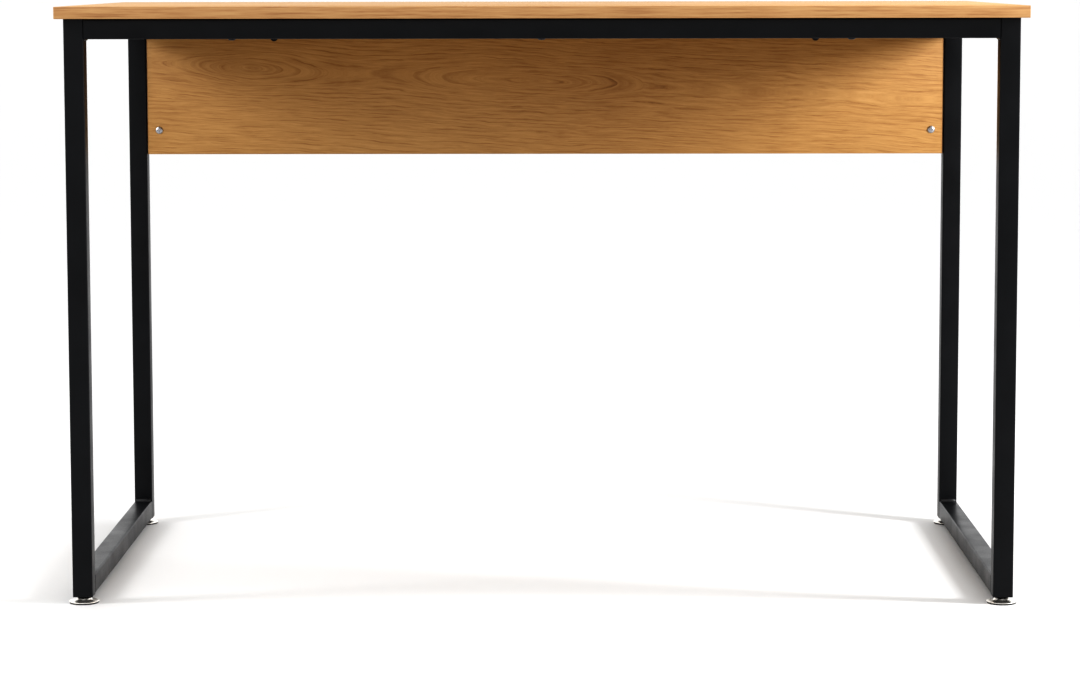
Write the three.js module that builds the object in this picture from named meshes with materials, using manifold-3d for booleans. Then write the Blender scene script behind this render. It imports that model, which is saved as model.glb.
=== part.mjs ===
// A plain writing desk: an oak-faced board on a welded square-tube frame, with an oak-faced
// modesty panel between the rear posts and four levelling feet that screw into the posts.
// Millimetres, +Z up. The origin is on the floor, under the middle of the desk.
// -Y is the side where the user sits, +Y is the side of the modesty panel.

import * as THREE from "three";
import { mergeVertices } from "three/addons/utils/BufferGeometryUtils.js";
import Module from "manifold-3d";

const wasm = await Module();
wasm.setup();

// ---------- driving dimensions ----------

const deskWidth = 1200;
const deskDepth = 600;
const boardThickness = 15;
const edgeBandThickness = 1;

const tubeSize = 25;
const tubeWall = 1.5;
const tubeCorner = 2;
const frameInset = 10; // from the board's edge to the frame's outer face, all round
const postLength = 724; // all the way up to the board

const footHeight = 9; // from the floor to the end of the post, with the foot screwed home
const footTravel = 10;
const footSize = 38;

const panelBottom = 533;
const panelTopGap = 3; // leaves room for the heads of the desktop screws
const panelEndGap = 1;
const panelSetback = 2; // from the front face of the rear posts
const panelThickness = 15;

const desktopScrewSpacing = { front: 383, rear: 430 }; // the rear ones clear the panel's upper tabs
const panelScrewHighX = 383; // from the middle of the desk
const panelScrewInset = 17.5; // from the inner face of the rear post
const panelScrewLowHeight = 567;
const panelScrewHighDrop = 10; // below the rear rail

// ---------- derived places ----------

const underside = footHeight + postLength;
const railBottom = underside - tubeSize;
const outerX = deskWidth / 2 - frameInset;
const outerY = deskDepth / 2 - frameInset;
const innerX = outerX - tubeSize;
const innerY = outerY - tubeSize;
const postX = outerX - tubeSize / 2;
const postY = outerY - tubeSize / 2;

const sides = { left: -1, right: 1 };
const ends = { front: -1, rear: 1 };
const axes = {
  x: new THREE.Vector3(1, 0, 0),
  y: new THREE.Vector3(0, 1, 0),
  z: new THREE.Vector3(0, 0, 1),
};

// ---------- materials ----------

const material = (color, roughness, metalness) => {
  return new THREE.MeshStandardMaterial({ color, roughness, metalness });
};
const oak = material(0xc79258, 0.55, 0);
const edgeBand = material(0xcf9c66, 0.5, 0);
const powderCoat = material(0x26282b, 0.45, 0.2);
const nickel = material(0xb9b4ab, 0.25, 1);
const zinc = material(0xa9abad, 0.35, 1);
const blackOxide = material(0x1d1d1f, 0.4, 1);
const plastic = material(0x17181a, 0.6, 0);

// ---------- geometry helpers ----------

/** Turns a geometry that was built along +Z so that it runs along the named axis. */
function along(geometry, axis) {
  const turn = new THREE.Quaternion().setFromUnitVectors(axes.z, axes[axis]);
  return geometry.applyQuaternion(turn);
}

/** The closed solid of a geometry, ready for a cut. */
function solidOf(geometry) {
  const bare = geometry.clone();
  bare.deleteAttribute("normal");
  bare.deleteAttribute("uv");
  const merged = mergeVertices(bare, 1e-4);
  const mesh = new wasm.Mesh({
    numProp: 3,
    vertProperties: new Float32Array(merged.attributes.position.array),
    triVerts: new Uint32Array(merged.index.array),
  });
  return new wasm.Manifold(mesh);
}

/** A geometry with other geometries cut out of it. */
function cut(geometry, ...tools) {
  let solid = solidOf(geometry);
  for (const tool of tools) {
    solid = solid.subtract(solidOf(tool));
  }
  const mesh = solid.getMesh();
  const result = new THREE.BufferGeometry();
  result.setAttribute("position", new THREE.BufferAttribute(mesh.vertProperties, 3));
  result.setIndex(new THREE.BufferAttribute(mesh.triVerts, 1));
  result.computeVertexNormals();
  return result;
}

/** A block from its two extreme corners. */
function block(low, high) {
  const size = high.map((value, i) => value - low[i]);
  const centre = high.map((value, i) => (value + low[i]) / 2);
  return new THREE.BoxGeometry(...size).translate(...centre);
}

/** A round bar or drill from one height to another on a Z axis through the origin. */
function rod(radius, from, to, segments = 16) {
  const geometry = new THREE.CylinderGeometry(radius, radius, to - from, segments);
  return geometry.rotateX(Math.PI / 2).translate(0, 0, (from + to) / 2);
}

/** A ring or disc turned about Z, from [radius, height] points in order round its section. */
function turned(points, segments = 32) {
  const profile = points.map(([radius, height]) => new THREE.Vector2(radius, height));
  return new THREE.LatheGeometry(profile, segments).rotateX(Math.PI / 2);
}

/** A square outline with round corners, centred on the origin. */
function roundedSquare(size, radius, Kind = THREE.Shape) {
  const reach = size / 2 - radius;
  const outline = new Kind();
  outline.absarc(reach, reach, radius, 0, Math.PI / 2);
  outline.absarc(-reach, reach, radius, Math.PI / 2, Math.PI);
  outline.absarc(-reach, -reach, radius, Math.PI, 1.5 * Math.PI);
  outline.absarc(reach, -reach, radius, 1.5 * Math.PI, 2 * Math.PI);
  outline.closePath();
  return outline;
}

/** A straight length of the frame's square tube, centred on the origin, along Z. */
function squareTube(length) {
  const section = roundedSquare(tubeSize, tubeCorner);
  section.holes.push(roundedSquare(tubeSize - 2 * tubeWall, tubeCorner - tubeWall, THREE.Path));
  const options = { depth: length, bevelEnabled: false, curveSegments: 3 };
  return new THREE.ExtrudeGeometry(section, options).translate(0, 0, -length / 2);
}

/** A hexagonal prism across its flats, from one height to another. */
function hexagon(acrossFlats, from, to) {
  return rod(acrossFlats / Math.sqrt(3), from, to, 6);
}

const desk = new THREE.Group();
desk.name = "writing_desk";

/** Adds one named piece to the desk. */
function add(name, geometry, finish, x = 0, y = 0, z = 0) {
  const mesh = new THREE.Mesh(geometry, finish);
  mesh.name = name;
  mesh.position.set(x, y, z);
  desk.add(mesh);
}

// ---------- desktop screws: where they are, and what they are ----------

const desktopScrews = [
  ...Object.entries(ends).flatMap(([end, sign]) => [-1, 0, 1].map((step) => {
    return { place: `${end}_${step + 2}`, x: step * desktopScrewSpacing[end], y: sign * postY };
  })),
  { place: "left", x: -postX, y: 0 },
  { place: "right", x: postX, y: 0 },
];
const desktopScrewShank = 2;
const desktopScrewBite = 10; // how far the point goes into the board
const desktopScrewHead = { radius: 5, height: 2 };
const railHoleRadius = 2.4;
const pilotRadius = 2.1;
const recessDepth = 1.1;

/** A cross recess for a screwdriver, cut upwards from a height. */
function crossRecess(height, reach) {
  const arm = 0.6;
  const long = block([-reach, -arm, height - 1], [reach, arm, height + recessDepth]);
  const wide = block([-arm, -reach, height - 1], [arm, reach, height + recessDepth]);
  return [long, wide];
}

/** A pan-head screw pointing up, with the underside of its head at height 0. */
function panHeadScrew(head, shankRadius, length, pointLength) {
  const crown = head.height;
  const profile = [
    [0, -crown],
    [head.radius * 0.6, -crown],
    [head.radius * 0.92, -crown * 0.55],
    [head.radius, 0],
    [shankRadius, 0],
    [shankRadius, length - pointLength],
    [shankRadius * 0.5, length],
    [0, length],
  ];
  return cut(turned(profile, 16), ...crossRecess(-crown, head.radius * 0.45));
}

for (const { place, x, y } of desktopScrews) {
  const length = tubeSize + desktopScrewBite;
  const screw = panHeadScrew(desktopScrewHead, desktopScrewShank, length, 3);
  add(`desktop_screw_${place}`, screw, blackOxide, x, y, railBottom);
}

// ---------- desktop: core board and four edge bands ----------

const coreX = deskWidth / 2 - edgeBandThickness;
const coreY = deskDepth / 2 - edgeBandThickness;
const boardTop = underside + boardThickness;
const pilots = desktopScrews.map(({ x, y }) => {
  return rod(pilotRadius, underside - 1, underside + desktopScrewBite + 1).translate(x, y, 0);
});
const core = block([-coreX, -coreY, underside], [coreX, coreY, boardTop]);
add("desktop_board", cut(core, ...pilots), oak);

for (const [end, sign] of Object.entries(ends)) {
  const band = block(
    [-deskWidth / 2, -edgeBandThickness / 2, underside],
    [deskWidth / 2, edgeBandThickness / 2, boardTop],
  );
  add(`desktop_edge_${end}`, band, edgeBand, 0, sign * (coreY + edgeBandThickness / 2));
}
for (const [side, sign] of Object.entries(sides)) {
  const band = block(
    [-edgeBandThickness / 2, -coreY, underside],
    [edgeBandThickness / 2, coreY, boardTop],
  );
  add(`desktop_edge_${side}`, band, edgeBand, sign * (coreX + edgeBandThickness / 2));
}

// ---------- frame: four posts, two floor rails, four top rails ----------

for (const [end, endSign] of Object.entries(ends)) {
  for (const [side, sideSign] of Object.entries(sides)) {
    const centreHeight = footHeight + postLength / 2;
    const post = squareTube(postLength);
    add(`${end}_post_${side}`, post, powderCoat, sideSign * postX, endSign * postY, centreHeight);
  }
}

/** A top rail along an axis, drilled through both walls for the desktop screws. */
function topRail(axis, length, holePlaces) {
  const drills = holePlaces.map((place) => {
    const drill = rod(railHoleRadius, -tubeSize, tubeSize);
    return drill.translate(...axes[axis].clone().multiplyScalar(place).toArray());
  });
  return cut(along(squareTube(length), axis), ...drills);
}

const topRailHeight = railBottom + tubeSize / 2;
const floorRailHeight = footHeight + tubeSize / 2;

for (const [end, sign] of Object.entries(ends)) {
  const holes = [-desktopScrewSpacing[end], 0, desktopScrewSpacing[end]];
  add(`${end}_rail`, topRail("x", 2 * innerX, holes), powderCoat, 0, sign * postY, topRailHeight);
}
for (const [side, sign] of Object.entries(sides)) {
  add(`side_rail_${side}`, topRail("y", 2 * innerY, [0]), powderCoat, sign * postX, 0, topRailHeight);
  add(`floor_rail_${side}`, along(squareTube(2 * innerY), "y"), powderCoat, sign * postX, 0, floorRailHeight);
}

// ---------- modesty panel: core, bands, tabs, screws and nuts ----------

const panelFront = innerY + panelSetback;
const panelBack = panelFront + panelThickness;
const panelTop = railBottom - panelTopGap;
const panelHalf = innerX - panelEndGap;
const tabSize = 30;
const tabThickness = 2;
const tabBack = panelBack + tabThickness;
const panelHoleRadius = 3.3;
const panelScrewX = innerX - panelScrewInset;
const panelScrewHighHeight = railBottom - panelScrewHighDrop;
const panelScrewHead = { radius: 5.25, height: 2.4 };
const panelScrewLength = 24;
const panelNut = { flats: 10, thickness: 5, bore: 3.15 };

const panelScrews = Object.entries(sides).flatMap(([side, sign]) => [
  { place: `lower_${side}`, x: sign * panelScrewX, z: panelScrewLowHeight, finish: zinc },
  { place: `upper_${side}`, x: sign * panelScrewHighX, z: panelScrewHighHeight, finish: blackOxide },
]);
const panelDrills = panelScrews.map(({ x, z }) => {
  return along(rod(panelHoleRadius, -panelThickness, 2 * panelThickness), "y").translate(x, panelFront, z);
});

const panelCore = block(
  [-panelHalf + edgeBandThickness, panelFront, panelBottom + edgeBandThickness],
  [panelHalf - edgeBandThickness, panelBack, panelTop],
);
add("modesty_panel", cut(panelCore, ...panelDrills), oak);

const bottomBand = block(
  [-panelHalf, panelFront, panelBottom],
  [panelHalf, panelBack, panelBottom + edgeBandThickness],
);
add("modesty_edge_bottom", bottomBand, edgeBand);
for (const [side, sign] of Object.entries(sides)) {
  const band = block(
    [-edgeBandThickness / 2, panelFront, panelBottom + edgeBandThickness],
    [edgeBandThickness / 2, panelBack, panelTop],
  );
  add(`modesty_edge_${side}`, band, edgeBand, sign * (panelHalf - edgeBandThickness / 2));
}

for (const [side, sign] of Object.entries(sides)) {
  const lower = block([0, panelBack, -tabSize / 2], [tabSize, tabBack, tabSize / 2]);
  const lowerX = Math.min(sign * innerX, sign * (innerX - tabSize));
  lower.translate(lowerX, 0, panelScrewLowHeight);
  add(`panel_tab_lower_${side}`, cut(lower, ...panelDrills), powderCoat);

  const upper = block([-tabSize / 2, panelBack, railBottom - tabSize], [tabSize / 2, tabBack, railBottom]);
  upper.translate(sign * panelScrewHighX, 0, 0);
  add(`panel_tab_upper_${side}`, cut(upper, ...panelDrills), powderCoat);
}

for (const { place, x, z, finish } of panelScrews) {
  const screw = along(panHeadScrew(panelScrewHead, 3, panelScrewLength, 1), "y");
  add(`panel_screw_${place}`, screw, finish, x, panelFront, z);
  const nutBore = rod(panelNut.bore, -1, panelNut.thickness + 1);
  const nut = cut(hexagon(panelNut.flats, 0, panelNut.thickness), nutBore);
  add(`panel_nut_${place}`, along(nut, "y"), zinc, x, tabBack, z);
}

// ---------- levelling feet: insert, nut, threaded stem, disc and base pad ----------

const stemRadius = 4;
const stemBore = stemRadius + 0.2;
const padThickness = 1.5;
const partGap = 0.3;
const insert = { size: 21.6, corner: 0.5, height: 20, nutShelf: 11 };
const footNut = { flats: 13, thickness: 6.5 };
const footRadius = footSize / 2;

/** The plastic plug in the end of a post, with a hexagonal pocket that holds the nut. */
function footInsert() {
  const options = { depth: insert.height, bevelEnabled: false, curveSegments: 3 };
  const plug = new THREE.ExtrudeGeometry(roundedSquare(insert.size, insert.corner), options);
  const bore = rod(stemBore + 0.1, -1, insert.height + 1, 32);
  const pocket = hexagon(footNut.flats + 2 * partGap, insert.nutShelf, insert.height + 1);
  return cut(plug, bore, pocket);
}

/** The pressed disc: a flat rim that rises to a domed hub round the stem. */
function footDisc() {
  const under = padThickness + 0.1;
  const top = footHeight - partGap;
  return turned([
    [stemBore, under],
    [footRadius - 0.6, under],
    [footRadius, under + 0.5],
    [footRadius - 0.5, under + 1.1],
    [footRadius * 0.58, under + 2.1],
    [footRadius * 0.48, top - 1.6],
    [footRadius * 0.34, top],
    [stemBore, top],
    [stemBore, under],
  ]);
}

/** The plastic pad that stands on the floor. */
function footPad() {
  const radius = footRadius - 0.75;
  return turned([
    [0, 0],
    [radius - 0.4, 0],
    [radius, 0.4],
    [radius, padThickness],
    [0, padThickness],
  ]);
}

/** The threaded stem, from just over the pad to its chamfered tip. */
function footStem() {
  const foot = padThickness + partGap;
  const tip = footHeight + insert.nutShelf + footNut.thickness + footTravel;
  return turned([
    [0, foot],
    [stemRadius, foot],
    [stemRadius, tip - 1],
    [stemRadius - 1, tip],
    [0, tip],
  ]);
}

for (const [end, endSign] of Object.entries(ends)) {
  for (const [side, sideSign] of Object.entries(sides)) {
    const x = sideSign * postX;
    const y = endSign * postY;
    const shelf = footHeight + insert.nutShelf + 0.1;
    const nutBore = rod(stemBore, -1, footNut.thickness + 1, 32);
    const nut = cut(hexagon(footNut.flats, 0, footNut.thickness), nutBore);
    add(`foot_insert_${end}_${side}`, footInsert(), plastic, x, y, footHeight);
    add(`foot_nut_${end}_${side}`, nut, zinc, x, y, shelf);
    add(`foot_stem_${end}_${side}`, footStem(), zinc, x, y);
    add(`foot_disc_${end}_${side}`, footDisc(), nickel, x, y);
    add(`foot_pad_${end}_${side}`, footPad(), plastic, x, y);
  }
}

export default desk;
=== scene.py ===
# %% [markdown]
# # A plain writing desk
# This lesson dresses a finished engineering model. The model fixes every size and every place, so
# nothing here moves a part. We only build finer surfaces where the plain ones are too coarse, and
# mix a material for each finish: oak-effect laminate, black powder coat, bright plate and plastic.
# The first cell loads the model and moves each part's place into its mesh.

# %% Load the frame
import math

import bmesh
import bpy
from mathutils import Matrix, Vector


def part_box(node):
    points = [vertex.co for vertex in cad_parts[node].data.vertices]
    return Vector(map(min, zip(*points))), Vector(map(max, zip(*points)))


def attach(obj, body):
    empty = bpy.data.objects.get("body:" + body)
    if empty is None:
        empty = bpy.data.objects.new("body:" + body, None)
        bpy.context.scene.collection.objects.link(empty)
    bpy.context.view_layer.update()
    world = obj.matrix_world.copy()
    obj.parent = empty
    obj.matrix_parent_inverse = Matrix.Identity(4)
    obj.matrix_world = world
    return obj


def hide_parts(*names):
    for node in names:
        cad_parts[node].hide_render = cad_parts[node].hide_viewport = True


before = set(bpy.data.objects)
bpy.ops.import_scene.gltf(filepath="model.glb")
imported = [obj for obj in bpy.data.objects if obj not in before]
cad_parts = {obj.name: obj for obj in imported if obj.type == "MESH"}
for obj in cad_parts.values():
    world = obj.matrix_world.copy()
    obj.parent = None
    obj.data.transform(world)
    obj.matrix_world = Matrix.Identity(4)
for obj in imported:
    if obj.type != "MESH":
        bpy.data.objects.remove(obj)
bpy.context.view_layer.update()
MM = 0.001

# %% [markdown]
# ## Places
# The model tells us where each node is. The same few corners come up again and again, so they are
# measured once. `FEET` and `SIDES` give the names that repeat in the model.

# %% Places taken from the frame
SIDES = {"left": -1, "right": 1}
ENDS = {"front": -1, "rear": 1}
FEET = [f"{end}_{side}" for end in ENDS for side in SIDES]


def middle(node):
    """The centre of a node's box."""
    low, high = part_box(node)
    return (low + high) / 2


def size_of(node):
    """The three sides of a node's box."""
    low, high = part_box(node)
    return high - low


TUBE = size_of("front_post_left").x
WALL = 1.5 * MM
TUBE_CORNER = 2 * MM
BOARD_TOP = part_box("desktop_board")[1].z
print("tube, mm:", round(TUBE / MM, 1), " top, mm:", round(BOARD_TOP / MM, 1))

# %% [markdown]
# ## The camera
# From far away and through a long lens, the posts of a desk stay nearly upright. The camera stands a
# little to the right of the middle and a little above the top, and looks slightly down. A small
# lens shift keeps the posts straighter than tilting alone would.

# %% Camera
LENS = 101.3
CAMERA_PLACE = Vector((0.0305, -4.044, 0.789))
CAMERA_DOWN = math.radians(5.78)
CAMERA_LEFT = math.radians(0.49)
CAMERA_ROLL = math.radians(0.09)
LENS_SHIFT = -0.06

camera_data = bpy.data.cameras.new("camera")
camera_data.lens = LENS
camera_data.shift_y = LENS_SHIFT
camera = bpy.data.objects.new("camera", camera_data)
camera.location = CAMERA_PLACE
camera.rotation_euler = (math.pi / 2 - CAMERA_DOWN, CAMERA_ROLL, CAMERA_LEFT)
bpy.context.scene.collection.objects.link(camera)
bpy.context.scene.camera = camera

# %% [markdown]
# ## Shader maths as plain expressions
# A procedural pattern is arithmetic on coordinates. Wiring a Math node for each step hides the
# formula, so a small class wraps one node output and turns `+`, `-`, `*` and `/` into Math nodes.
# Anything that isn't plain arithmetic, such as noise or a colour ramp, comes from `Paint.node`.

# %% Signal and Paint
class Signal:
    """One number that varies over a surface, or one vector or colour."""

    def __init__(self, paint, socket):
        self.paint = paint
        self.socket = socket

    def maths(self, operation, *others):
        sockets = dict(enumerate((self, *others)))
        return self.paint.node("ShaderNodeMath", {"operation": operation}, sockets)

    def __add__(self, other):
        return self.maths("ADD", other)

    def __sub__(self, other):
        return self.maths("SUBTRACT", other)

    def __mul__(self, other):
        return self.maths("MULTIPLY", other)

    def __truediv__(self, other):
        return self.maths("DIVIDE", other)

    __radd__ = __add__
    __rmul__ = __mul__


class Paint:
    """A material that is being mixed."""

    def __init__(self, name):
        self.material = bpy.data.materials.new(name)
        self.material.use_nodes = True
        self.tree = self.material.node_tree
        self.shader = self.tree.nodes["Principled BSDF"]
        self.place = self.node("ShaderNodeTexCoord", output="Object")

    def node(self, kind, settings=None, sockets=None, output=0):
        """Adds a node: its settings first, then the values or links of its sockets."""
        made = self.tree.nodes.new(kind)
        for name, value in (settings or {}).items():
            if name == "stops":
                self.set_stops(made.color_ramp, value)
            else:
                setattr(made, name, value)
        for name, value in (sockets or {}).items():
            self.feed(made.inputs[name], value)
        return Signal(self, made.outputs[output])

    def set_stops(self, ramp, stops):
        while len(ramp.elements) < len(stops):
            ramp.elements.new(1.0)
        for element, (position, colour) in zip(ramp.elements, stops):
            element.position = position
            element.color = (*colour, 1.0)

    def feed(self, socket, value):
        if isinstance(value, Signal):
            self.tree.links.new(value.socket, socket)
        else:
            socket.default_value = value

    def axes(self):
        """The x, y and z of the place on the object, in metres."""
        split = self.node("ShaderNodeSeparateXYZ", sockets={0: self.place}).socket.node
        return [Signal(self, split.outputs[i]) for i in range(3)]

    def stretched(self, scale, shift=(0, 0, 0)):
        """The place on the object, stretched or squeezed along each axis."""
        sockets = {"Vector": self.place, "Scale": scale, "Location": shift}
        return self.node("ShaderNodeMapping", sockets=sockets)

    def noise(self, vector, scale=1.0, detail=2.0, rough=0.5, twist=0.0):
        sockets = {
            "Vector": vector,
            "Scale": scale,
            "Detail": detail,
            "Roughness": rough,
            "Distortion": twist,
        }
        return self.node("ShaderNodeTexNoise", sockets=sockets)

    def remap(self, value, low, high, to_low=0.0, to_high=1.0):
        """A number between low and high, moved to another range and held inside it."""
        sockets = {0: value, 1: low, 2: high, 3: to_low, 4: to_high}
        return self.node("ShaderNodeMapRange", {"clamp": True}, sockets)

    def ramp(self, value, stops):
        return self.node("ShaderNodeValToRGB", {"stops": stops}, {0: value})

    def bump(self, height, distance, strength=1.0):
        sockets = {"Height": height, "Distance": distance, "Strength": strength}
        self.feed(self.shader.inputs["Normal"], self.node("ShaderNodeBump", sockets=sockets))

    def set(self, **inputs):
        """Feeds the shader's inputs, so that base_color names Base Color."""
        for name, value in inputs.items():
            title = name.replace("_", " ").title().replace("Ior", "IOR")
            self.feed(self.shader.inputs[title], value)
        return self.material

# %% [markdown]
# ## Oak-effect laminate
# The board and the panel are faced with a printed oak pattern. Real flat-sawn oak shows arches and
# long ovals, because the saw meets the growth rings at a shallow angle. The same happens here: the
# distance from a wandering heart line makes rings, and the heart dips in and out of the surface
# along the board, then runs level. The darker streaks follow those rings, and fine pores run
# straight with the grain.

# %% Oak laminate
RING_WIDTH = 5.2 * MM
HEART_DEPTH = 22 * MM
HEART_SWAY = 20 * MM
STREAKS_ALONG = 16.0
STREAKS_ACROSS = 420.0
PORES_ALONG = 60.0
PORES_ACROSS = 1900.0
SLOW_STRETCH = (2.0, 4.0, 4.0)
SWAY_STRETCH = (5.0, 16, 16)
SWAY_SHIFT = (3, 1, 5)
TURN_WANDER = 3.0
BOARD_END = 0.7
OAK_GLOSS = (0.50, 0.62)
OAK_STOPS = [
    (0.0, (0.190, 0.084, 0.022)),
    (0.35, (0.320, 0.170, 0.056)),
    (0.65, (0.415, 0.243, 0.092)),
    (1.0, (0.50, 0.312, 0.134)),
]


def oak_laminate(name, across, heart_line, heart_slope, heart_end, heart_rate, heart_phase):
    """Oak facing with its grain along X. across is the other axis of the face, 1 for Y or 2 for Z.

    The heart is a line at heart_line with heart_slope. It dips heart_rate radians a metre, from
    heart_phase, and runs level past heart_end.
    """
    paint = Paint(name)
    axes = paint.axes()
    along = axes[0]
    sideways = axes[across] - heart_line - along * heart_slope

    slow = paint.noise(paint.stretched(SLOW_STRETCH), detail=3.0)
    sway = paint.noise(paint.stretched(SWAY_STRETCH, SWAY_SHIFT), detail=4.0, rough=0.6) - 0.5
    held = paint.remap(along, -BOARD_END, heart_end, -BOARD_END, heart_end)
    turn = held * heart_rate + heart_phase + (slow - 0.5) * TURN_WANDER
    depth = turn.maths("SINE") * HEART_DEPTH
    wavy = sideways + sway * HEART_SWAY
    flow = (wavy * wavy + depth * depth).maths("SQRT")

    grain = {0: along * STREAKS_ALONG, 1: flow * STREAKS_ACROSS}
    follow = paint.node("ShaderNodeCombineXYZ", sockets=grain)
    streaks = paint.noise(follow, detail=6.0, rough=0.70, twist=0.3)
    rings = (flow / RING_WIDTH + slow * 2.0 + streaks * 0.5).maths("FRACT")
    late = paint.remap(rings, 0.66, 0.93) * paint.remap(rings, 1.0, 0.95)
    hair = [PORES_ALONG, 1.0, 1.0]
    hair[across] = PORES_ACROSS
    pores = paint.noise(paint.stretched(tuple(hair)), detail=2.0, rough=0.6)

    streak_tone = paint.remap(streaks, 0.30, 0.70)
    pore_dark = paint.remap(pores, 0.55, 0.72)
    broken = paint.remap(streaks, 0.62, 0.40)
    broad = paint.remap(slow, 0.30, 0.70)
    tone = streak_tone * 0.50 + broad * 0.22 + 0.24 - late * broken * 0.24 - pore_dark * 0.16
    colour = paint.ramp(tone, OAK_STOPS)
    roughness = paint.remap(streaks, 0.2, 0.8, *OAK_GLOSS)
    paint.bump(streak_tone - pore_dark * 0.7, 0.05 * MM, 0.5)
    return paint.set(base_color=colour, roughness=roughness)


PANEL_OAK = oak_laminate(
    "panel_oak",
    across=2,
    heart_line=0.636,
    heart_slope=-0.045,
    heart_end=0.14,
    heart_rate=8.2,
    heart_phase=0.41,
)
DESKTOP_OAK = oak_laminate(
    "desktop_oak",
    across=1,
    heart_line=0.03,
    heart_slope=0.05,
    heart_end=0.35,
    heart_rate=6.0,
    heart_phase=1.1,
)
print("oak mixed, ring width, mm:", round(RING_WIDTH / MM, 1))

# %% [markdown]
# ## Edge bands
# The bands are thin strips with a straight, fine grain that runs along each edge. Long stretched
# noise is enough for them, since no arch ever shows in a 15 mm strip.

# %% Edge bands
BAND_STOPS = [
    (0.0, (0.25, 0.120, 0.046)),
    (0.45, (0.375, 0.212, 0.092)),
    (1.0, (0.46, 0.288, 0.138)),
]


def band_oak(name, along):
    """A grain that runs along one axis, 0 for X, 1 for Y or 2 for Z."""
    paint = Paint(name)
    coarse, fine = [420.0] * 3, [2400.0] * 3
    coarse[along], fine[along] = 14.0, 60.0
    bands = paint.noise(paint.stretched(tuple(coarse)), detail=4.0, rough=0.6, twist=0.2)
    hairs = paint.noise(paint.stretched(tuple(fine)), detail=2.0)
    tone = paint.remap(bands, 0.28, 0.68) * 0.85 + paint.remap(hairs, 0.35, 0.65) * 0.2
    paint.bump(bands, 0.04 * MM, 0.4)
    roughness = paint.remap(bands, 0.2, 0.8, 0.42, 0.52)
    return paint.set(base_color=paint.ramp(tone, BAND_STOPS), roughness=roughness)


BAND_ALONG_X = band_oak("band_oak_long", 0)
BAND_ALONG_Y = band_oak("band_oak_short", 1)
BAND_UPRIGHT = band_oak("band_oak_upright", 2)

# %% [markdown]
# ## Powder coat, plate and plastic
# Powder coat melts into a skin with a faint orange-peel texture, so it gets a fine bump and an
# uneven gloss. Bright plate is a metal whose gloss varies slightly. Moulded plastic is matt.

# %% Other finishes
def textured(name, colour, metal, rough, grain, depth, spread=0.06):
    """A plain finish with a fine uneven skin. grain is in bumps per metre."""
    paint = Paint(name)
    skin = paint.noise(paint.place, scale=grain, detail=3.0)
    patches = paint.noise(paint.place, scale=22.0, detail=3.0)
    shade = paint.remap(patches, 0.3, 0.7, 0.86, 1.12)
    tinted = paint.node(
        "ShaderNodeVectorMath",
        {"operation": "SCALE"},
        {0: colour, "Scale": shade},
    )
    gloss = paint.remap(skin * 0.4 + patches * 0.6, 0.35, 0.65, rough - spread, rough + spread)
    paint.bump(skin, depth, 0.6)
    return paint.set(base_color=tinted, roughness=gloss, metallic=metal)


POWDER_BLACK = (0.0095, 0.010, 0.0115)
POWDER_IOR = 1.36
POWDER = textured("black_powder", POWDER_BLACK, 0.0, 0.36, 900.0, 0.03 * MM)
POWDER.node_tree.nodes["Principled BSDF"].inputs["IOR"].default_value = POWDER_IOR
WELD = textured("weld_under_powder", POWDER_BLACK, 0.0, 0.42, 1500.0, 0.05 * MM)
NICKEL = textured("bright_nickel", (0.76, 0.74, 0.70), 1.0, 0.36, 700.0, 0.01 * MM)
ZINC = textured("bright_zinc", (0.44, 0.44, 0.46), 1.0, 0.40, 1200.0, 0.02 * MM)
# The black screw finish is painted shade, for plated screws whose heads sit in shade under the rail
# and board.
SCREW_PAINTED_SHADE_BLACK = textured("dark_screw_painted_shade", (0.030, 0.030, 0.032), 1.0, 0.38, 1200.0, 0.02 * MM)
PLASTIC = textured("black_plastic", (0.012, 0.012, 0.013), 0.0, 0.55, 1600.0, 0.02 * MM)

# %% [markdown]
# ## Hands for modelling
# Every new piece starts from a primitive and is shaped in edit mode, as by hand. An operator acts on
# whatever is selected, so `pick` chooses faces or edges by a test on their place or direction.

# %% Modelling helpers
def select_only(*pieces):
    bpy.ops.object.select_all(action="DESELECT")
    for piece in pieces:
        piece.select_set(True)
    bpy.context.view_layer.objects.active = pieces[0]


def start_editing(piece, mode):
    """Enters edit mode on one piece. mode is VERT, EDGE or FACE."""
    select_only(piece)
    bpy.ops.object.mode_set(mode="EDIT")
    bpy.ops.mesh.select_mode(type=mode)


def stop_editing():
    bpy.ops.object.mode_set(mode="OBJECT")


def pick(kind, test):
    """Selects the verts, edges or faces of the piece in edit mode that pass a test."""
    bpy.ops.mesh.select_all(action="DESELECT")
    data = bpy.context.active_object.data
    mesh = bmesh.from_edit_mesh(data)
    for element in getattr(mesh, kind):
        if test(element):
            element.select_set(True)
    bmesh.update_edit_mesh(data)


def runs_along(edge, axis):
    """True if an edge is parallel to an axis."""
    run = edge.verts[1].co - edge.verts[0].co
    return abs(run[axis]) > 0.999 * run.length


def block(low, high):
    """A cube primitive stretched between two corners, with its place in its mesh."""
    low, high = Vector(low), Vector(high)
    bpy.ops.object.select_all(action="DESELECT")
    bpy.ops.mesh.primitive_cube_add(size=1, location=(low + high) / 2, scale=high - low)
    bpy.ops.object.transform_apply()
    return bpy.context.active_object


def modify(piece, kind, **settings):
    """Adds a modifier and applies it."""
    select_only(piece)
    modifier = piece.modifiers.new(kind.lower(), kind)
    for name, value in settings.items():
        setattr(modifier, name, value)
    bpy.ops.object.modifier_apply(modifier=modifier.name)
    return piece


def carve(piece, tool, operation="DIFFERENCE"):
    """Cuts a tool out of a piece, or keeps what they share, and throws the tool away."""
    modify(piece, "BOOLEAN", object=tool, operation=operation, solver="EXACT")
    bpy.data.objects.remove(tool)
    return piece


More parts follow.
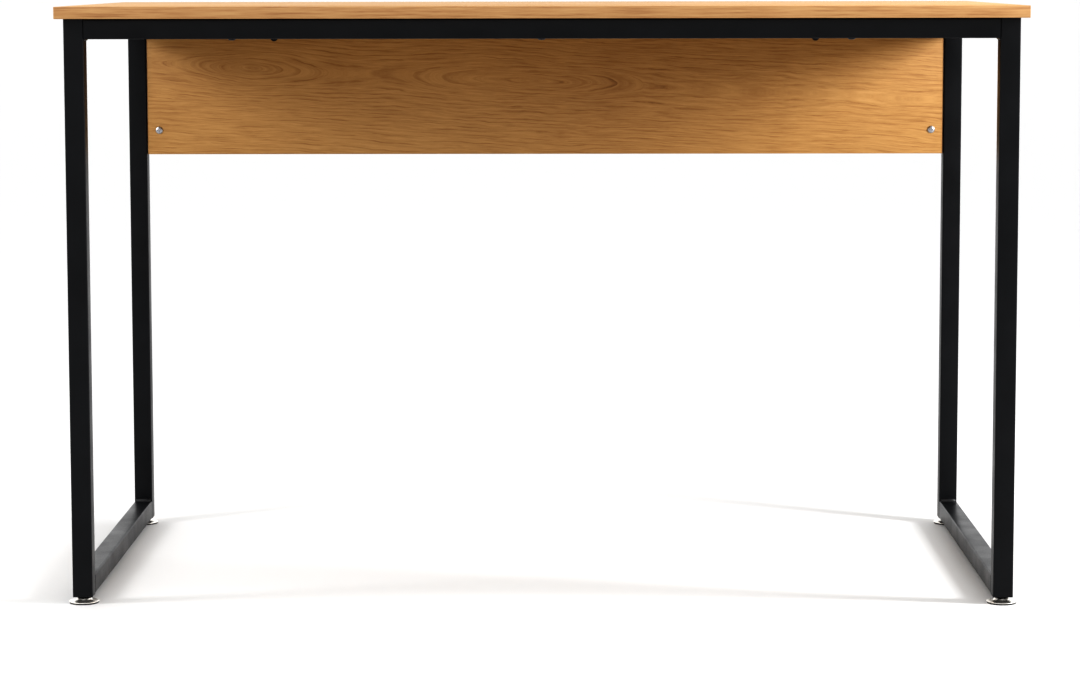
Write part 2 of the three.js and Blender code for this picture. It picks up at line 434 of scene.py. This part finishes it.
def turned(profile, sides=48):
    """A solid turned about Z: a circle, extruded and resized from ring to ring, then capped."""
    bpy.ops.object.select_all(action="DESELECT")
    radius, height = profile[0]
    bpy.ops.mesh.primitive_circle_add(vertices=sides, radius=radius, location=(0, 0, height))
    bpy.ops.object.transform_apply()
    piece = bpy.context.active_object
    start_editing(piece, "VERT")
    bpy.ops.mesh.select_all(action="SELECT")
    bpy.ops.mesh.edge_face_add()
    bpy.ops.mesh.select_all(action="SELECT")
    for next_radius, next_height in profile[1:]:
        rise = {"value": (0, 0, next_height - height)}
        bpy.ops.mesh.extrude_region_move(TRANSFORM_OT_translate=rise)
        share = next_radius / radius
        bpy.ops.transform.resize(value=(share, share, 1), center_override=(0, 0, next_height))
        radius, height = next_radius, next_height
    bpy.ops.mesh.select_all(action="SELECT")
    bpy.ops.mesh.normals_make_consistent(inside=False)
    stop_editing()
    return piece


def move(piece, place, axis=None):
    """Turns a piece built along Z to lie along an axis, and puts it in place, in its mesh."""
    if axis == "x":
        piece.rotation_euler = (0, math.pi / 2, 0)
    if axis == "y":
        piece.rotation_euler = (-math.pi / 2, 0, 0)
    piece.location = place
    select_only(piece)
    bpy.ops.object.transform_apply()
    return piece


def copy_of(piece):
    twin = piece.copy()
    twin.data = piece.data.copy()
    bpy.context.scene.collection.objects.link(twin)
    return twin


def finished(piece, name, material, body, slot, *nodes, smooth=35):
    """Names a piece, paints it, shades it and puts it on its body in place of CAD nodes."""
    piece.name = piece.data.name = name
    piece.data.materials.clear()
    piece.data.materials.append(material)
    select_only(piece)
    bpy.ops.object.shade_smooth_by_angle(angle=math.radians(smooth))
    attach(piece, body)
    if nodes:
        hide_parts(*nodes)
    return piece


# %% [markdown]
# ## The tube frame
# Each length is a real tube. A block gets its four long edges rounded, loses its two end faces and
# is given a wall on the inside, so the cut ends show the wall as the real ones do.

# %% Tubes
CORNER_STEPS = 6


def tube(node, axis):
    piece = block(*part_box(node))
    start_editing(piece, "EDGE")
    pick("edges", lambda edge: runs_along(edge, axis))
    bpy.ops.mesh.bevel(offset=TUBE_CORNER, segments=CORNER_STEPS, affect="EDGES")
    bpy.ops.mesh.select_mode(type="FACE")
    pick("faces", lambda face: abs(face.normal[axis]) > 0.99)
    bpy.ops.mesh.delete(type="FACE")
    stop_editing()
    modify(piece, "SOLIDIFY", thickness=WALL, offset=-1, use_even_offset=True)
    return finished(piece, f"{node}_tube", POWDER, "frame", "black_powder_coat", node)


for end in ENDS:
    tube(f"{end}_rail", 0)
    for side in SIDES:
        tube(f"{end}_post_{side}", 2)
for side in SIDES:
    tube(f"side_rail_{side}", 1)
    tube(f"floor_rail_{side}", 1)
print("tubes made")

# %% [markdown]
# ## The board and its bands
# A laminate board has crisp edges, but never razor sharp: the band is scraped flush, which leaves a
# tiny radius. That radius catches the light and makes the edge read as a real one.

# %% Softened blocks
def softened(node, name, material, slot, radius, segments=3):
    """A node's block with all its edges rounded."""
    piece = block(*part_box(node))
    start_editing(piece, "EDGE")
    bpy.ops.mesh.select_all(action="SELECT")
    bpy.ops.mesh.bevel(offset=radius, segments=segments, affect="EDGES")
    stop_editing()
    return finished(piece, name, material, "frame", slot, node)


HAIRLINE = 0.12 * MM
BAND_RADIUS = 0.45 * MM
softened("desktop_board", "board", DESKTOP_OAK, "oak_laminate", HAIRLINE, 2)
for end in ENDS:
    node = f"desktop_edge_{end}"
    softened(node, f"{node}_band", BAND_ALONG_X, "oak_edge_band", BAND_RADIUS)
for side in SIDES:
    node = f"desktop_edge_{side}"
    softened(node, f"{node}_band", BAND_ALONG_Y, "oak_edge_band", BAND_RADIUS)

softened("modesty_panel", "panel", PANEL_OAK, "oak_laminate", HAIRLINE, 2)
softened("modesty_edge_bottom", "panel_band_bottom", BAND_ALONG_X, "oak_edge_band", BAND_RADIUS)
for side in SIDES:
    node = f"modesty_edge_{side}"
    softened(node, f"panel_band_{side}", BAND_UPRIGHT, "oak_edge_band", BAND_RADIUS)
print("board, panel and bands made")

# %% [markdown]
# ## Weld beads
# The rails are welded to the posts. A bead fills the inside corner between two tubes, where it is
# never ground away. It is laid in small steps, so it ripples. Each bead starts as a round bar that
# is cut into short lengths, with every second ring swollen a little. Only the quarter of the bar
# inside the corner is kept. The beads on the long rails are small, since those corners show most.

# %% Weld beads
WELD_LEG = 3.2 * MM
RAIL_LEG = 1.6 * MM
WELD_STEP = 1.6 * MM
WELD_SWELL = 1.14
WELD_SIDES = 20


def bead(name, corner, first, second, length, axis, leg=WELD_LEG):
    """A bead in a corner between two faces. first and second point out of the corner along them."""
    corner = Vector(corner)
    run = Vector((0, 0, 0))
    run[axis] = 1
    bpy.ops.object.select_all(action="DESELECT")
    bpy.ops.mesh.primitive_cylinder_add(vertices=WELD_SIDES, radius=leg, depth=length)
    piece = move(bpy.context.active_object, corner, "xyz"[axis])
    start_editing(piece, "VERT")
    steps = round(length / WELD_STEP)
    for step in range(1, steps):
        bpy.ops.mesh.select_all(action="SELECT")
        ring = corner + run * length * (step / steps - 0.5)
        bpy.ops.mesh.bisect(plane_co=ring, plane_no=run)
        if step % 2:
            swell = [WELD_SWELL] * 3
            swell[axis] = 1
            bpy.ops.transform.resize(value=swell, center_override=ring)
    for outward in (first, second):
        bpy.ops.mesh.select_all(action="SELECT")
        bpy.ops.mesh.bisect(plane_co=corner, plane_no=outward, use_fill=True, clear_inner=True)
    bpy.ops.mesh.select_all(action="SELECT")
    bpy.ops.mesh.normals_make_consistent(inside=False)
    stop_editing()
    return finished(piece, name, WELD, "frame", "black_powder_coat", smooth=50)


# The inner corners of a side frame and of the two long rails, seen from inside the tube frame.
rail_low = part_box("front_rail")[0].z
floor_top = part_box("floor_rail_left")[1].z
flat = TUBE - 2 * TUBE_CORNER
for side, hand in SIDES.items():
    for end, facing in ENDS.items():
        low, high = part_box(f"{end}_post_{side}")
        centre = (low + high) / 2
        face_y = low.y if end == "rear" else high.y
        face_x = low.x if side == "right" else high.x
        foot, key = f"{end}_{side}", (0, -facing, 0)
        bead(f"weld_floor_{foot}", (centre.x, face_y, floor_top), key, (0, 0, 1), flat, 0)
        bead(f"weld_side_{foot}", (centre.x, face_y, rail_low), key, (0, 0, -1), flat, 0)
        inside, under = (-hand, 0, 0), (0, 0, -1)
        bead(f"weld_rail_{foot}", (face_x, centre.y, rail_low), inside, under, flat, 1, RAIL_LEG)
print("beads, mm long:", round(flat / MM, 1))

# %% [markdown]
# ## Screws
# A pan-head screw has a domed head with a cross recess. The head is turned from a circle ring by
# ring, and the recess is two crossed bars cut out of it. One screw of each size is made at the
# origin, pointing up, and copied to its places.

# %% Screws
def pan_head(radius, height, shank, length):
    """A screw that points up, with the underside of its head at the origin."""
    dome = [
        (radius * math.cos(angle), -height * math.sin(angle))
        for angle in (math.radians(degrees) for degrees in (72, 60, 48, 36, 24, 12))
    ]
    rim = [(radius, -0.12 * height), (radius * 0.985, 0)]
    neck = [(shank, 0), (shank, length * 0.94), (shank * 0.55, length)]
    piece = turned(dome + rim + neck, 40)
    arm, reach, deep = 0.13 * radius, 0.52 * radius, 0.62 * height
    for wide, tall in ((arm, reach), (reach, arm)):
        carve(piece, block((-wide, -tall, -height * 2), (wide, tall, -height + deep)))
    return piece


def screw_size(node, axis):
    """Head radius and whole length, from the node's box."""
    low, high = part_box(node)
    across = (high - low)[0] / 2
    return across, (high - low)[axis]


DESKTOP_HEAD = 2.0 * MM
DESKTOP_SHANK = 2.0 * MM
PANEL_HEAD = 2.4 * MM
PANEL_SHANK = 3.0 * MM

head_radius, whole = screw_size("desktop_screw_front_1", 2)
desk_screw = pan_head(head_radius, DESKTOP_HEAD, DESKTOP_SHANK, whole - DESKTOP_HEAD)
places = [f"{end}_{i}" for end in ENDS for i in (1, 2, 3)] + list(SIDES)
for place in places:
    node = f"desktop_screw_{place}"
    low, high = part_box(node)
    spot = Vector(((low.x + high.x) / 2, (low.y + high.y) / 2, rail_low))
    piece = move(copy_of(desk_screw), spot)
    # The black here is painted shade: these plated screws are made black because their heads sit in
    # shade under the front rail.
    finished(piece, f"{node}_black", SCREW_PAINTED_SHADE_BLACK, "frame", "black_oxide", node)
bpy.data.objects.remove(desk_screw)

head_radius, whole = screw_size("panel_screw_lower_left", 1)
panel_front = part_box("modesty_panel")[0].y
panel_screw = pan_head(head_radius, PANEL_HEAD, PANEL_SHANK, whole - PANEL_HEAD)
# The upper pair are the same plated screws as the lower pair; their black is painted shade, as they
# sit in shade under the board.
for row, material, slot in (("lower", ZINC, "zinc_plate"), ("upper", SCREW_PAINTED_SHADE_BLACK, "black_oxide")):
    for side in SIDES:
        node = f"panel_screw_{row}_{side}"
        spot = middle(node)
        spot.y = panel_front
        piece = move(copy_of(panel_screw), spot, "y")
        finished(piece, f"{node}_recessed", material, "frame", slot, node)
bpy.data.objects.remove(panel_screw)
print("screws:", len(places) + 4)

# %% [markdown]
# ## Tabs and nuts
# Four small steel tabs are welded to the frame behind the panel. A nut on the back of each tab holds
# the panel screw. Tabs are cut from flat bar and have rounded corners. A nut has chamfered corners
# where its flats meet its faces: a turned blank that is wider than the flats does that, because
# what it shares with a six-sided bar is just such a nut.

# %% Tabs and nuts
TAB_CORNER = 3 * MM
TAB_EDGE = 0.25 * MM


def tab(node):
    piece = block(*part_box(node))
    start_editing(piece, "EDGE")
    pick("edges", lambda edge: runs_along(edge, 1))
    bpy.ops.mesh.bevel(offset=TAB_CORNER, segments=5, affect="EDGES")
    bpy.ops.mesh.select_mode(type="EDGE")
    pick("edges", lambda edge: not runs_along(edge, 1))
    bpy.ops.mesh.bevel(offset=TAB_EDGE, segments=2, affect="EDGES")
    stop_editing()
    return finished(piece, f"{node}_plate", POWDER, "frame", "black_powder_coat", node)


def hexagon_nut(thickness, flats, bore):
    """A nut that stands on the origin. Its chamfers take off a sixth of its thickness."""
    corner = flats / math.sqrt(3)
    cap = thickness / 6
    piece = turned([
        (corner - 1.5 * cap, 0),
        (corner + 0.05 * MM, cap),
        (corner + 0.05 * MM, thickness - cap),
        (corner - 1.5 * cap, thickness),
    ])
    bpy.ops.object.select_all(action="DESELECT")
    bpy.ops.mesh.primitive_cylinder_add(
        vertices=6, radius=corner, depth=2 * thickness, location=(0, 0, thickness / 2)
    )
    bpy.ops.object.transform_apply()
    carve(piece, bpy.context.active_object, "INTERSECT")
    return carve(piece, turned([(bore, -thickness), (bore, 2 * thickness)], 40))


nut_size = size_of("panel_nut_lower_left")
NUT_BORE = 3.15 * MM
panel_nut = hexagon_nut(nut_size.y, min(nut_size.x, nut_size.z), NUT_BORE)
for row in ("lower", "upper"):
    for side in SIDES:
        tab(f"panel_tab_{row}_{side}")
        node = f"panel_nut_{row}_{side}"
        spot = middle(node)
        spot.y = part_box(node)[0].y
        piece = move(copy_of(panel_nut), spot, "y")
        finished(piece, f"{node}_chamfered", ZINC, "frame", "zinc_plate", node)
bpy.data.objects.remove(panel_nut)
print("tabs and nuts made")

# %% [markdown]
# ## Levelling feet
# Each foot is a pressed disc with a domed hub on a black pad. The disc is turned ring by ring from
# its rim to its hub, and its bore is cut out afterwards. The pad has a rounded rim and two shallow
# grooves below, which grip the floor.

# %% Discs and pads
FOOT = "front_left"
STEM_BORE = 4.2 * MM


def spaced(low, high, count):
    """Evenly spaced angles in radians, from degrees."""
    return [math.radians(low + (high - low) * i / (count - 1)) for i in range(count)]


def foot_disc():
    """The pressed disc, from its underside round the rim and up to the hub."""
    low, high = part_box(f"foot_disc_{FOOT}")
    radius, under, rise = (high.x - low.x) / 2, low.z, high.z - low.z
    lip, hub = 0.5 * MM, 0.50 * radius
    rim = [
        (radius - lip + lip * math.cos(angle), under + lip + lip * math.sin(angle))
        for angle in spaced(-90, 60, 7)
    ]
    dish = [(0.84, 0.21), (0.70, 0.25), (0.60, 0.30), (0.545, 0.37)]
    skirt = [(radius * across, under + rise * up) for across, up in dish]
    dome = [
        (hub * math.cos(angle), under + rise * (0.50 + 0.50 * math.sin(angle)))
        for angle in spaced(5, 62, 7)
    ]
    piece = turned([*rim, *skirt, *dome, (STEM_BORE + lip, high.z)], 72)
    return carve(piece, turned([(STEM_BORE, low.z - 1 * MM), (STEM_BORE, high.z + 1 * MM)], 40))


def foot_pad():
    """The moulded pad, with its rounded rim and two grooves underneath."""
    low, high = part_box(f"foot_pad_{FOOT}")
    radius, top, soft = (high.x - low.x) / 2, high.z, 0.35 * MM
    foot_rim = [
        (radius - soft + soft * math.cos(angle), low.z + soft + soft * math.sin(angle))
        for angle in spaced(-90, 0, 5)
    ]
    head_rim = [
        (radius - soft + soft * math.cos(angle), top - soft + soft * math.sin(angle))
        for angle in spaced(0, 90, 5)
    ]
    piece = turned([*foot_rim, *head_rim], 72)
    for outer in (0.78 * radius, 0.48 * radius):
        ring = turned([(outer, -1 * MM), (outer, 0.4 * MM)], 72)
        inner = outer - 1.6 * MM
        carve(ring, turned([(inner, -2 * MM), (inner, 1 * MM)], 72))
        carve(piece, ring)
    return piece


def feet_of(pattern, piece, material, body, slot, ending):
    """Copies one piece, built on the Z axis, to all four feet."""
    for foot in FEET:
        node = pattern.format(foot)
        spot = middle(node)
        twin = move(copy_of(piece), (spot.x, spot.y, 0))
        finished(twin, f"{node}_{ending}", material, body.format(foot), slot, node)
    bpy.data.objects.remove(piece)


feet_of("foot_disc_{}", foot_disc(), NICKEL, "screw_foot_{}", "nickel_plate", "pressed")
feet_of("foot_pad_{}", foot_pad(), PLASTIC, "pad_{}", "black_plastic", "moulded")
print("discs and pads made")

# %% [markdown]
# ## Threaded stems
# The stem has a real M8 thread, which shows when the foot is screwed out. Its outline over one turn
# is a short line of points, drawn by extruding a single vertex. A Screw modifier sweeps it up a
# helix, one pitch a turn, and its points meet the next turn's. The ends are cut square and closed.

# %% Stems
STEM_RADIUS = 4 * MM
PITCH = 1.25 * MM
THREAD_DEPTH = 0.68 * MM
JOIN_WITHIN = 0.001 * MM
THREAD_STEPS = 24


def foot_stem():
    """A threaded stem on the Z axis, between the heights of its node, with a chamfered tip."""
    low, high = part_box(f"foot_stem_{FOOT}")
    root = STEM_RADIUS - THREAD_DEPTH
    bpy.ops.object.select_all(action="DESELECT")
    bpy.ops.mesh.primitive_plane_add(size=MM, location=(root, 0, low.z - 2 * PITCH))
    bpy.ops.object.transform_apply()
    piece = bpy.context.active_object
    start_editing(piece, "VERT")
    bpy.ops.mesh.select_all(action="SELECT")
    bpy.ops.mesh.merge(type="CENTER")
    for out, up in ((THREAD_DEPTH, 0.40), (0, 0.13), (-THREAD_DEPTH, 0.40), (0, 0.07)):
        bpy.ops.mesh.extrude_vertices_move(TRANSFORM_OT_translate={"value": (out, 0, up * PITCH)})
    stop_editing()
    modify(
        piece,
        "SCREW",
        screw_offset=PITCH,
        iterations=math.ceil((high.z - low.z) / PITCH) + 4,
        steps=THREAD_STEPS,
        render_steps=THREAD_STEPS,
        use_merge_vertices=True,
        merge_threshold=JOIN_WITHIN,
    )
    start_editing(piece, "VERT")
    bpy.ops.mesh.select_all(action="SELECT")
    bpy.ops.mesh.remove_doubles(threshold=JOIN_WITHIN)
    for height, side in ((low.z, "clear_inner"), (high.z, "clear_outer")):
        bpy.ops.mesh.select_all(action="SELECT")
        cut = {side: True}
        bpy.ops.mesh.bisect(
            plane_co=(0, 0, height), plane_no=(0, 0, 1), use_fill=True, threshold=JOIN_WITHIN, **cut
        )
    bpy.ops.mesh.select_all(action="SELECT")
    bpy.ops.mesh.normals_make_consistent(inside=False)
    stop_editing()
    blank = turned([
        (STEM_RADIUS + MM, low.z - MM),
        (STEM_RADIUS + MM, high.z - THREAD_DEPTH - MM),
        (root, high.z + 0.01 * MM),
    ])
    return carve(piece, blank, "INTERSECT")


feet_of("foot_stem_{}", foot_stem(), ZINC, "screw_foot_{}", "zinc_plate", "threaded")
print("stems made, turns in 10 mm:", round(10 * MM / PITCH))

# %% [markdown]
# ## What the posts hide
# The plastic plugs and the nuts inside the posts are seen only from below, past a foot that is
# screwed out. Their plain shapes are right as they are, so they keep them and get real finishes.

# %% Plugs and captive nuts
for foot in FEET:
    for node, material in ((f"foot_insert_{foot}", PLASTIC), (f"foot_nut_{foot}", ZINC)):
        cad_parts[node].data.materials.clear()
        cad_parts[node].data.materials.append(material)

# %% [markdown]
# ## The stage and the light
# The desk stands on a plain pale floor under an even white dome, which gives the soft shade under the
# board. A tall narrow softbox low on each side, a little in front, lights the panel under the board.
# The right one is the stronger, so the panel is bright at both ends and darkest in the middle. A
# strong contrast is set for the view, so that the black tubes stay black beside the white floor.

# %% Floor
FLOOR_PAINT = 0.57
FLOOR_SIZE = 400
bpy.ops.object.select_all(action="DESELECT")
bpy.ops.mesh.primitive_plane_add(size=FLOOR_SIZE)
floor = bpy.context.active_object
floor.name = "studio_floor"
floor_paint = Paint("pale_floor")
pale = (FLOOR_PAINT, FLOOR_PAINT, FLOOR_PAINT, 1)
floor.data.materials.append(floor_paint.set(base_color=pale, roughness=0.7))

# %% Sky
SKY = 0.95
sky = bpy.data.worlds.new("studio")
sky.use_nodes = True
bpy.context.scene.world = sky
dome = sky.node_tree.nodes["Background"]
dome.inputs["Color"].default_value = (1, 1, 1, 1)
dome.inputs["Strength"].default_value = SKY


# %% Softboxes
def softbox(name, place, aim, width, height, watts):
    data = bpy.data.lights.new(name, "AREA")
    data.shape = "RECTANGLE"
    data.size, data.size_y, data.energy = width, height, watts
    lamp = bpy.data.objects.new(name, data)
    lamp.location = place
    lamp.rotation_euler = (Vector(aim) - Vector(place)).to_track_quat("-Z", "Y").to_euler()
    bpy.context.scene.collection.objects.link(lamp)


# The place of each box, the point on the panel that it faces, and its power in watts.
BOX_WIDTH, BOX_HEIGHT = 0.25, 0.60
RIGHT_BOX = ((1.9, -0.50, 1.25), (0.4, 0.27, 0.62), BOX_WIDTH, BOX_HEIGHT, 28)
LEFT_BOX = ((-1.75, -0.50, 1.38), (-0.4, 0.27, 0.62), BOX_WIDTH, BOX_HEIGHT, 9)
softbox("softbox_right", *RIGHT_BOX)
softbox("softbox_left", *LEFT_BOX)
print("floor, sky and softboxes made")

scene = bpy.context.scene
scene.view_settings.view_transform = "Standard"
scene.view_settings.look = "Very High Contrast"
